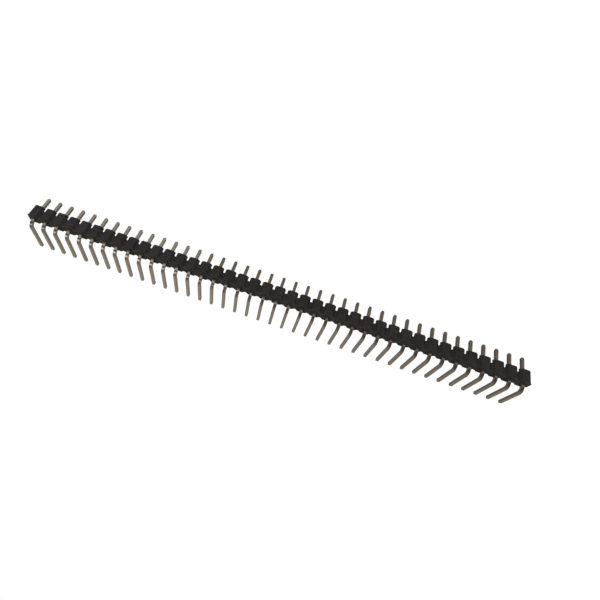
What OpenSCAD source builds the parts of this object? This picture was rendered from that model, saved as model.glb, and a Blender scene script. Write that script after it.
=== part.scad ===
// Right-angle pin header strip: square pins pressed through a moulded break-off insulator, each bent
// once above it. The origin is on the first pin's axis, in the plane that seats on the circuit board.
// +X runs along the row, +Z points up from the board, and the bent arms point along -Y.

/* [Row] */
// Number of pins
pin_count = 40; // [2:1:59]
// Distance between the axes of neighbouring pins
pitch = 2.54; // [2.4:0.01:3.2]

/* [Insulator] */
// Width of each block across the row
block_width = 2.6; // [2:0.05:3.2]
// Height of each block above the board
block_height = 2.5; // [2:0.05:4]
// Gap between neighbouring blocks, bridged by the break-off web
block_gap = 0.4; // [0.2:0.02:0.6]
// Chamfer on the four upright corners of each block
corner_chamfer = 0.45; // [0.2:0.05:0.6]
// Radius of the blocks' long edges
edge_radius = 0.08; // [0.04:0.01:0.15]
// Width of the web across the row
web_width = 1.6; // [0.8:0.05:1.7]
// Height at which the web clears the board
web_clearance = 0.8; // [0.4:0.05:1.5]
// Width of the channel along the underside of the blocks
channel_width = 1.2; // [0.8:0.05:1.4]
// Depth of that channel
channel_depth = 0.5; // [0.1:0.05:0.7]
// Funnel at the top of each pin hole
hole_lead_in = 0.06; // [0.05:0.01:0.2]
// Clearance on each side of a pin in its hole, 0 for a press fit
hole_clearance = 0; // [0:0.005:0.05]
// Lip torn out of the web at each end of the row
break_lip = 0.22; // [0.05:0.01:0.3]

/* [Pins] */
// Side of the square pin wire
pin_size = 0.6; // [0.5:0.02:0.8]
// Flat along each long edge of the wire
wire_edge = 0.04; // [0.02:0.01:0.08]
// Length of the tail below the board plane
tail_length = 3; // [2.2:0.1:5]
// Height of the bent arm's axis above the insulator
arm_rise = 1.5; // [1.3:0.1:4]
// Length of the bent arm beyond the insulator's side
arm_reach = 5.8; // [3:0.1:12]
// Radius of the bend along the wire's axis
bend_radius = 1.15; // [0.6:0.05:1.3]
// Length of the coined taper at each end of a pin
tip_length = 0.3; // [0.2:0.05:0.8]
// Side of the square left at the point of each taper
tip_size = 0.36; // [0.15:0.01:0.45]

/* [Hidden] */
$fn = 48;
// Overlap of joined shapes, and the overrun of cuts
lap = 0.2;
block_length = pitch - block_gap;
row_start = -block_length / 2;
row_end = (pin_count - 1) * pitch + block_length / 2;
arm_height = block_height + arm_rise;
arm_end = block_width / 2 + arm_reach;
hole_size = pin_size + 2 * hole_clearance;

function pin_name(i) = str("pin_", i < 10 ? "0" : "", i);

// Rectangle centred on the origin with its four corners cut at 45 degrees
module cut_rectangle(length, width, cut) {
    x = length / 2;
    y = width / 2;
    polygon([
        [x, y - cut], [x - cut, y], [cut - x, y], [-x, y - cut],
        [-x, cut - y], [cut - x, -y], [x - cut, -y], [x, cut - y]
    ]);
}

// Rectangle centred on X that stands on Y = 0, with its four corners rounded
module round_rectangle(width, height, radius) {
    x = width / 2 - radius;
    for (side = [-1, 1], y = [radius, height - radius])
        translate([side * x, y])
            circle(radius);
    translate([-width / 2, radius])
        square([width, height - 2 * radius]);
    translate([-x, 0])
        square([2 * x, height]);
}

// Turns a section drawn in XY so that it stands in YZ and runs along X from start to end
module along_row(start, end) {
    translate([start, 0, 0])
        rotate([90, 0, 90])
            linear_extrude(end - start)
                children();
}

// Square hole through a block, with a funnel at the top to guide the pin in
module pin_hole() {
    half = hole_size / 2;
    mouth = half + hole_lead_in + lap;
    funnel = [
        [-half, block_height - hole_lead_in], [half, block_height - hole_lead_in],
        [mouth, block_height + lap], [-mouth, block_height + lap]
    ];
    translate([-half, -half, -lap])
        cube([hole_size, hole_size, block_height + 2 * lap]);
    intersection() {
        along_row(-mouth, mouth)
            polygon(funnel);
        rotate([0, 0, 90])
            along_row(-mouth, mouth)
                polygon(funnel);
    }
}

// Torn lip along the top edge of an end face, pointing along +X from x = 0
module torn_lip() {
    rotate([90, 0, 0])
        linear_extrude(web_width, center = true)
            polygon([
                [-lap, block_height], [break_lip, block_height],
                [0, block_height - break_lip], [-lap, block_height - break_lip]
            ]);
}

// One moulding: eight-sided blocks on the pitch, channelled underneath and joined by thin webs that snap
module insulator() {
    color([0.18, 0.17, 0.165])
    difference() {
        union() {
            intersection() {
                along_row(row_start, row_end)
                    round_rectangle(block_width, block_height, edge_radius);
                for (i = [0:pin_count - 1])
                    translate([i * pitch, 0, 0])
                        linear_extrude(block_height)
                            cut_rectangle(block_length, block_width, corner_chamfer);
            }
            translate([row_start + lap, -web_width / 2, web_clearance])
                cube([row_end - row_start - 2 * lap, web_width, block_height - web_clearance]);
            translate([row_end, 0, 0])
                torn_lip();
            translate([row_start, 0, 0])
                mirror([1, 0, 0])
                    torn_lip();
        }
        translate([row_start - lap, -channel_width / 2, -lap])
            cube([row_end - row_start + 2 * lap, channel_width, channel_depth + lap]);
        for (i = [0:pin_count - 1])
            translate([i * pitch, 0, 0])
                pin_hole();
    }
}

// Straight square wire from z = 0 up to length, with a coined taper at its top end
module wire_arm(length) {
    half = pin_size / 2;
    point = tip_size / 2;
    outline = [
        [-half, 0], [half, 0], [half, length - tip_length],
        [point, length], [-point, length], [-half, length - tip_length]
    ];
    intersection() {
        linear_extrude(length)
            cut_rectangle(pin_size, pin_size, wire_edge);
        along_row(-half, half)
            polygon(outline);
        rotate([0, 0, 90])
            along_row(-half, half)
                polygon(outline);
    }
}

// Quarter bend of the wire, from straight up at the origin to pointing along -Y
module wire_bend() {
    translate([0, -bend_radius, 0])
        rotate([90, 0, 90])
            rotate_extrude(angle = 90)
                translate([bend_radius, 0])
                    cut_rectangle(pin_size, pin_size, wire_edge);
}

// One pin: tail through the insulator, bend above it, and arm out to the mating side
module pin(i) {
    bend_start = arm_height - bend_radius;
    color([0.62, 0.55, 0.44])
    translate([(i - 1) * pitch, 0, 0]) {
        translate([0, 0, bend_start])
            mirror([0, 0, 1])
                wire_arm(bend_start + tail_length);
        translate([0, 0, bend_start])
            wire_bend();
        translate([0, -bend_radius, arm_height])
            rotate([90, 0, 0])
                wire_arm(arm_end - bend_radius);
    }
}

insulator();
for (i = [1:pin_count])
    pin(i);
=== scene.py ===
"""Looks for a right-angle pin header strip: finishes on the CAD pieces, a pale floor, soft lamps and a camera.

Everything is in the part's frame, in metres: +X along the row, +Z up from the board, arms along -Y.
"""

import math

import bpy
from mathutils import Euler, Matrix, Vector

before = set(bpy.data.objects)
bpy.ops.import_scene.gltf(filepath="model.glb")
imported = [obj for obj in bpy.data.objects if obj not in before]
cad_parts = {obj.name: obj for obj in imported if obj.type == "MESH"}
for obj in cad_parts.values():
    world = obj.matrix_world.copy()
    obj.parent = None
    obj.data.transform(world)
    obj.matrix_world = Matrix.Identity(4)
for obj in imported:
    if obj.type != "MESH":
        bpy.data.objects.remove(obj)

MM = 0.001

# Sizes of the part, as in part.scad
PITCH = 2.54 * MM
PIN_COUNT = 40
BLOCK_TOP = 2.5 * MM
BLOCK_SIDE = 1.3 * MM
BLOCK_END = 1.07 * MM
BLOCK_CHAMFER = 0.45 * MM
BEND_RADIUS = 1.15 * MM
ARM_HEIGHT = 4.0 * MM
ARM_TIP = -7.1 * MM
TAIL_TIP = -3.0 * MM
TIP_LENGTH = 0.3 * MM
ROW_CENTRE = Vector(((PIN_COUNT - 1) * PITCH / 2, -3 * MM, 1 * MM))

INSULATOR = "insulator"
PINS = [f"pin_{i:02d}" for i in range(1, PIN_COUNT + 1)]

# Black plastic. Colours are linear RGBA here and below.
SKIN_DARK = (0.0325, 0.0300, 0.0280, 1)
SKIN_PALE = (0.0410, 0.0378, 0.0355, 1)
FIBRE_COLOR = (0.060, 0.056, 0.052, 1)
# The web colour is painted light: it lifts the shade in the recessed webs between the blocks.
WEB_PAINTED_LIGHT_COLOR = (0.044, 0.041, 0.038, 1)
# The rubbed edge colour is partly wear and partly a painted highlight along the block edges.
RUBBED_AND_HIGHLIGHT_COLOR = (0.058, 0.053, 0.049, 1)
TORN_COLOR = (0.075, 0.069, 0.063, 1)
FIBRE_COVER, WEB_PAINTED_LIGHT_COVER = 0.35, 0.5
WEB_MATT, TORN_MATT, RUBBED_SHINE = 0.08, 0.2, 0.12
MOULD_SPECULAR = 0.08
FLOW_STRETCH = 0.25
FLOW_RELIEF = 0.6
# A point counts as near a face within EDGE_WIDTH, and as on an edge where it is near two.
EDGE_WIDTH = 0.12 * MM
ONE_FACE, TWO_FACES = 1.2, 1.9

# Gold flash. Each mark on the plating has a colour, how much of it shows and how much rougher it is.
GOLD_PALE = (0.240, 0.201, 0.165, 1)
GOLD_WARM = (0.261, 0.213, 0.156, 1)
SPECK_COLOR = (0.117, 0.092, 0.070, 1)
COINED_COLOR = (0.150, 0.131, 0.113, 1)
CUT_COLOR = (0.185, 0.122, 0.076, 1)
SPECK_COVER, SPECK_DULL = 0.35, 0.12
COINED_COVER, COINED_DULL = 0.5, 0.1
CUT_COVER, CUT_DULL = 0.8, 0.15
FOOT_COVER, FOOT_DULL = 0.2, 0.15
CLOUD_TINT, PIN_TINT = 0.6, 0.4
DRAWN_STRETCH = 0.03

# Studio. The floor that the metal mirrors dims along the row, between DIM_FROM and DIM_TO.
WHITE = (1, 1, 1, 1)
FLOOR_SIZE = 40.0
FLOOR_GLOW = 0.92
FLOOR_SEEN = (0.2, 0.2, 0.2, 1)
FLOOR_LIT = (0.8, 0.8, 0.8, 1)
FLOOR_MIRRORED = (0.42, 0.42, 0.42, 1)
MIRROR_COOL = (0.93, 1.0, 1.1, 1)
MIRROR_WARM = (1.0, 0.95, 0.88, 1)
DIM_FROM, DIM_TO = -22 * MM, -10 * MM
WARM_CORNER = (0.96, 0.85, 0.67, 1)
MIRRORED_BOOST = 0.28
LAMPS = (
    # name, place, size, level
    ("key_lamp", (-0.11, 0.155, 0.27), (0.18, 0.13), 2.65),
    ("low_lamp", (-0.05, 0.30, 0.035), (0.22, 0.08), 1.5),
)

# The photograph's view, as fitted to all 40 pins
LENS = 24.903
SENSOR_WIDTH = 36.0
SHIFT_X = 0.06
CAMERA_PLACE = (52.75 * MM, 68.58 * MM, 43.36 * MM)
CAMERA_DEGREES = (-58.07, 17.629, 7.132)


class Nodes:
    """Builds the nodes of a material or a world: each method adds a node and returns its output."""

    def __init__(self, owner, output="ShaderNodeOutputMaterial"):
        self.owner = owner
        owner.use_nodes = True
        self.tree = owner.node_tree
        self.tree.nodes.clear()
        self.output = self.tree.nodes.new(output)

    def link(self, value, socket):
        if isinstance(value, bpy.types.NodeSocket):
            self.tree.links.new(value, socket)
        else:
            socket.default_value = value

    def add(self, kind, **settings):
        node = self.tree.nodes.new(kind)
        for name, value in settings.items():
            setattr(node, name, value)
        return node

    def coordinates(self, kind):
        return self.add("ShaderNodeTexCoord").outputs[kind]

    def split(self, vector):
        node = self.add("ShaderNodeSeparateXYZ")
        self.link(vector, node.inputs[0])
        return node.outputs[0], node.outputs[1], node.outputs[2]

    def join(self, x, y, z):
        node = self.add("ShaderNodeCombineXYZ")
        for value, socket in zip((x, y, z), node.inputs):
            self.link(value, socket)
        return node.outputs[0]

    def math(self, operation, a, b=0.0):
        node = self.add("ShaderNodeMath", operation=operation)
        self.link(a, node.inputs[0])
        self.link(b, node.inputs[1])
        return node.outputs[0]

    def plus(self, a, b):
        return self.math("ADD", a, b)

    def minus(self, a, b):
        return self.math("SUBTRACT", a, b)

    def times(self, a, b):
        return self.math("MULTIPLY", a, b)

    def larger(self, a, b):
        return self.math("MAXIMUM", a, b)

    def smaller(self, a, b):
        return self.math("MINIMUM", a, b)

    def distance(self, a, b):
        return self.math("ABSOLUTE", self.minus(a, b))

    def ramp(self, value, low, high, start=0.0, end=1.0):
        """Maps low..high to start..end, smoothly and clamped."""
        node = self.add("ShaderNodeMapRange", interpolation_type="SMOOTHSTEP")
        for given, socket in zip((value, low, high, start, end), node.inputs):
            self.link(given, socket)
        return node.outputs[0]

    def noise(self, vector, scale, detail=3.0, roughness=0.55):
        node = self.add("ShaderNodeTexNoise")
        self.link(vector, node.inputs["Vector"])
        node.inputs["Scale"].default_value = scale
        node.inputs["Detail"].default_value = detail
        node.inputs["Roughness"].default_value = roughness
        return node.outputs["Fac"]

    def random(self, value):
        node = self.add("ShaderNodeTexWhiteNoise", noise_dimensions="1D")
        self.link(value, node.inputs["W"])
        return node.outputs["Value"]

    def mix(self, factor, a, b):
        node = self.add("ShaderNodeMix", data_type="RGBA")
        for value, socket in zip((factor, a, b), (node.inputs[0], node.inputs[6], node.inputs[7])):
            self.link(value, socket)
        return node.outputs[2]

    def layered(self, color, *layers):
        """Lays each (cover, color) over the color before it."""
        for cover, layer in layers:
            color = self.mix(cover, color, layer)
        return color

    def bump(self, height, distance, strength):
        node = self.add("ShaderNodeBump")
        node.inputs["Strength"].default_value = strength
        node.inputs["Distance"].default_value = distance
        self.link(height, node.inputs["Height"])
        return node.outputs["Normal"]

    def surface(self, color, roughness, normal, metallic=0.0, **values):
        node = self.add("ShaderNodeBsdfPrincipled")
        for name, value in values.items():
            node.inputs[name].default_value = value
        self.link(color, node.inputs["Base Color"])
        self.link(metallic, node.inputs["Metallic"])
        self.link(roughness, node.inputs["Roughness"])
        self.link(normal, node.inputs["Normal"])
        self.tree.links.new(node.outputs[0], self.output.inputs["Surface"])
        return self.owner


def nearest_pin(n, x):
    """Number of the nearest pin along the row, counted from 0."""
    return n.math("ROUND", n.math("DIVIDE", x, PITCH))


def block_edges(n, from_pin, y, z):
    """1 along the edges of the blocks, 0 on their faces and webs."""
    from_row = n.math("ABSOLUTE", y)
    from_chamfer = n.minus(BLOCK_END + BLOCK_SIDE - BLOCK_CHAMFER, n.plus(from_pin, from_row))
    depths = (
        n.minus(BLOCK_SIDE, from_row),
        n.minus(BLOCK_END, from_pin),
        n.times(from_chamfer, math.sqrt(0.5)),
        n.smaller(z, n.minus(BLOCK_TOP, z)),
    )
    faces = 0.0
    for depth in depths:
        faces = n.plus(faces, n.ramp(n.math("ABSOLUTE", depth), low=EDGE_WIDTH, high=0.0))
    return n.ramp(faces, ONE_FACE, TWO_FACES)


def torn_ends(n, x):
    """1 on the two torn end faces of the row and their lips."""
    from_middle = n.distance(x, ROW_CENTRE.x)
    row_end = ROW_CENTRE.x + BLOCK_END
    return n.ramp(from_middle, row_end - 0.07 * MM, row_end + 0.03 * MM)


def moulded_black():
    """Black glass-filled thermoplastic: satin skin, faint flow marks, worn edges with a painted highlight, webs
    painted paler to lift their shade, and paler torn ends.
    """
    n = Nodes(bpy.data.materials.new("moulded_black"))
    place = n.coordinates("Object")
    x, y, z = n.split(place)
    along_flow = n.join(n.times(x, FLOW_STRETCH), y, z)
    cloud = n.noise(place, scale=350.0)
    grain = n.noise(place, scale=9000.0, detail=4.0, roughness=0.6)
    fibres = n.noise(along_flow, scale=5000.0, detail=2.0)
    flow = n.noise(along_flow, scale=1600.0)

    from_pin = n.distance(x, n.times(nearest_pin(n, x), PITCH))
    web = n.ramp(from_pin, BLOCK_END - 0.04 * MM, BLOCK_END + 0.02 * MM)
    # Edge mask for wear and for a painted highlight along the block edges; the wear also makes them shinier.
    rubbed_and_highlit = n.times(block_edges(n, from_pin, y, z), n.ramp(flow, low=0.35, high=0.65, start=0.15, end=0.7))
    torn = torn_ends(n, x)

    color = n.layered(
        n.mix(n.ramp(cloud, low=0.35, high=0.65), SKIN_DARK, SKIN_PALE),
        (n.times(n.ramp(fibres, low=0.62, high=0.72), FIBRE_COVER), FIBRE_COLOR),
        # Webs painted paler, to lift the shade in the recesses between the blocks.
        (n.times(web, WEB_PAINTED_LIGHT_COVER), WEB_PAINTED_LIGHT_COLOR),
        # Edges paler: wear and a painted highlight.
        (rubbed_and_highlit, RUBBED_AND_HIGHLIGHT_COLOR),
        (n.times(torn, n.ramp(grain, low=0.45, high=0.7)), TORN_COLOR),
    )
    matt = n.plus(n.times(torn, TORN_MATT), n.times(web, WEB_MATT))
    change = n.minus(matt, n.times(rubbed_and_highlit, RUBBED_SHINE))
    roughness = n.plus(n.ramp(flow, low=0.3, high=0.7, start=0.48, end=0.62), change)
    height = n.plus(grain, n.times(flow, FLOW_RELIEF))
    normal = n.bump(height, distance=0.01 * MM, strength=0.5)
    return n.surface(color, roughness, normal, **{"Specular IOR Level": MOULD_SPECULAR})


def drawn_grain(n, x, y, z):
    """Fine grain drawn out along the wire, also round its bend."""
    from_bend = n.larger(n.plus(y, BEND_RADIUS), 0.0)
    above_bend = n.larger(n.minus(z, ARM_HEIGHT - BEND_RADIUS), 0.0)
    squares = n.plus(n.math("POWER", from_bend, 2.0), n.math("POWER", above_bend, 2.0))
    across = n.minus(n.math("SQRT", squares), BEND_RADIUS)
    along = n.times(n.minus(z, y), DRAWN_STRETCH)
    return n.noise(n.join(x, across, along), scale=14000.0, detail=2.0)


def gold_tint(n, place, x):
    """Soft tarnish, and a tint of each pin's own: 0 is pale, 1 is warm."""
    cloud = n.ramp(n.noise(place, scale=420.0), low=0.3, high=0.7)
    return n.plus(n.times(cloud, CLOUD_TINT), n.times(n.random(nearest_pin(n, x)), PIN_TINT))


def gold_flash():
    """Thin gold flash on drawn square wire: grain along it, specks, dull coined tips, bare cut ends, scuffed foot."""
    n = Nodes(bpy.data.materials.new("gold_flash"))
    place = n.coordinates("Object")
    x, y, z = n.split(place)
    grain = drawn_grain(n, x, y, z)
    specks = n.ramp(n.noise(place, scale=2600.0, roughness=0.7), low=0.63, high=0.72)
    from_end = n.smaller(n.minus(z, TAIL_TIP), n.minus(y, ARM_TIP))
    coined = n.ramp(from_end, TIP_LENGTH + 0.05 * MM, TIP_LENGTH - 0.05 * MM)
    cut = n.ramp(from_end, low=0.03 * MM, high=0.01 * MM)
    foot = n.ramp(n.distance(z, BLOCK_TOP), low=0.4 * MM, high=0.2 * MM)

    color = n.layered(
        n.mix(gold_tint(n, place, x), GOLD_PALE, GOLD_WARM),
        (n.times(specks, SPECK_COVER), SPECK_COLOR),
        (n.times(coined, COINED_COVER), COINED_COLOR),
        (n.times(cut, CUT_COVER), CUT_COLOR),
    )
    roughness = n.ramp(grain, low=0.3, high=0.7, start=0.17, end=0.27)
    for mark, dull in ((coined, COINED_DULL), (specks, SPECK_DULL), (foot, FOOT_DULL), (cut, CUT_DULL)):
        roughness = n.plus(roughness, n.times(mark, dull))
    metallic = n.minus(1.0, n.times(foot, FOOT_COVER))
    normal = n.bump(grain, distance=0.004 * MM, strength=0.4)
    return n.surface(color, roughness, normal, metallic=metallic)


def seen_directly(n, path):
    """1 for camera and transmission rays."""
    return n.larger(path["Is Camera Ray"], path["Is Transmission Ray"])


def mirrored_floor(n, x, y):
    """Brightness of the floor in the metal: it dims past the first pins, under the row and behind it."""
    along_row = n.ramp(x, DIM_FROM, DIM_TO, start=0.8, end=0.28)
    behind_row = n.ramp(y, low=-2 * MM, high=-9 * MM, start=0.25, end=0.45)
    across_row = n.ramp(y, low=2.2 * MM, high=3.3 * MM, start=behind_row, end=1.0)
    return n.times(along_row, across_row)


def white_floor():
    """Pale floor that reads as white and keeps the shadow. The metal mirrors it cool at first, warmer further on."""
    n = Nodes(bpy.data.materials.new("white_floor"))
    path = n.add("ShaderNodeLightPath").outputs
    seen = seen_directly(n, path)
    x, y, _ = n.split(n.coordinates("Object"))
    mirrored = n.times(path["Is Glossy Ray"], mirrored_floor(n, x, y))
    tone = n.mix(n.ramp(x, DIM_FROM, DIM_TO), MIRROR_COOL, MIRROR_WARM)
    glow = n.add("ShaderNodeEmission")
    n.link(n.mix(seen, tone, WHITE), glow.inputs["Color"])
    n.link(n.plus(n.times(seen, FLOOR_GLOW), mirrored), glow.inputs["Strength"])
    paper = n.mix(path["Is Glossy Ray"], FLOOR_LIT, FLOOR_MIRRORED)
    matt = n.add("ShaderNodeBsdfDiffuse")
    n.link(n.mix(seen, paper, FLOOR_SEEN), matt.inputs["Color"])
    both = n.add("ShaderNodeAddShader")
    for shader, socket in zip((glow, matt), both.inputs):
        n.link(shader.outputs[0], socket)
    n.link(both.outputs[0], n.output.inputs["Surface"])
    return n.owner


def make_floor(material):
    place = (ROW_CENTRE.x, ROW_CENTRE.y, TAIL_TIP)
    bpy.ops.mesh.primitive_plane_add(size=FLOOR_SIZE, location=place)
    floor = bpy.context.object
    floor.name = "floor"
    floor.data.materials.append(material)


def studio_light(n, path, x, y):
    """Brightness of the world by direction: a pale sweep on the arms' side and a dimmer room on the other."""
    room = n.ramp(x, low=-0.4, high=0.4, start=0.21, end=0.15)
    fill = n.times(path["Is Diffuse Ray"], n.ramp(x, low=-0.4, high=0.6, start=0.48, end=0.68))
    sweep = n.ramp(x, low=-0.4, high=0.35, start=0.74, end=0.44)
    room_edge = n.ramp(x, low=-0.35, high=0.1, start=0.2, end=0.7)
    sweep_edge = n.ramp(x, low=0.0, high=0.4, start=-0.8, end=-0.4)
    light = n.ramp(y, room_edge, sweep_edge, start=n.larger(room, fill), end=sweep)
    return n.times(light, n.plus(1.0, n.times(path["Is Glossy Ray"], MIRRORED_BOOST)))


def make_world():
    """White where the background shows, and plain soft light everywhere else."""
    world = bpy.data.worlds.new("studio")
    bpy.context.scene.world = world
    n = Nodes(world, "ShaderNodeOutputWorld")
    path = n.add("ShaderNodeLightPath").outputs
    seen = seen_directly(n, path)
    x, y, _ = n.split(n.coordinates("Generated"))
    warm = n.times(n.ramp(x, low=-0.15, high=-0.55), n.ramp(y, low=0.2, high=-0.6))
    tone = n.mix(warm, WHITE, WARM_CORNER)
    background = n.add("ShaderNodeBackground")
    n.link(n.mix(seen, tone, WHITE), background.inputs["Color"])
    n.link(n.larger(seen, studio_light(n, path, x, y)), background.inputs["Strength"])
    n.link(background.outputs[0], n.output.inputs["Surface"])


def make_lamp(name, place, size, level):
    """Soft rectangular lamp aimed at the row. level is its brightness, where 1 is the white of the floor."""
    width, height = size
    data = bpy.data.lights.new(name, "AREA")
    data.shape = "RECTANGLE"
    data.size, data.size_y = width, height
    data.energy = level * math.pi * width * height
    lamp = bpy.data.objects.new(name, data)
    bpy.context.scene.collection.objects.link(lamp)
    lamp.location = place
    lamp.rotation_euler = (Vector(place) - ROW_CENTRE).to_track_quat("Z", "Y").to_euler()
    lamp.visible_camera = False


def make_camera():
    data = bpy.data.cameras.new("camera")
    data.lens = LENS
    data.sensor_width = SENSOR_WIDTH
    data.shift_x = SHIFT_X
    data.clip_start = 1 * MM
    camera = bpy.data.objects.new("camera", data)
    bpy.context.scene.collection.objects.link(camera)
    camera.location = CAMERA_PLACE
    camera.rotation_euler = Euler([math.radians(angle) for angle in CAMERA_DEGREES])
    bpy.context.scene.camera = camera


def finish_node(name, material):
    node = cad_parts[name]
    node.data.materials.clear()
    node.data.materials.append(material)


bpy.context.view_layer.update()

finish_node(INSULATOR, moulded_black())
metal = gold_flash()
for pin in PINS:
    finish_node(pin, metal)

make_floor(white_floor())
make_world()
for lamp_settings in LAMPS:
    make_lamp(*lamp_settings)
make_camera()
bpy.context.scene.view_settings.view_transform = "Standard"
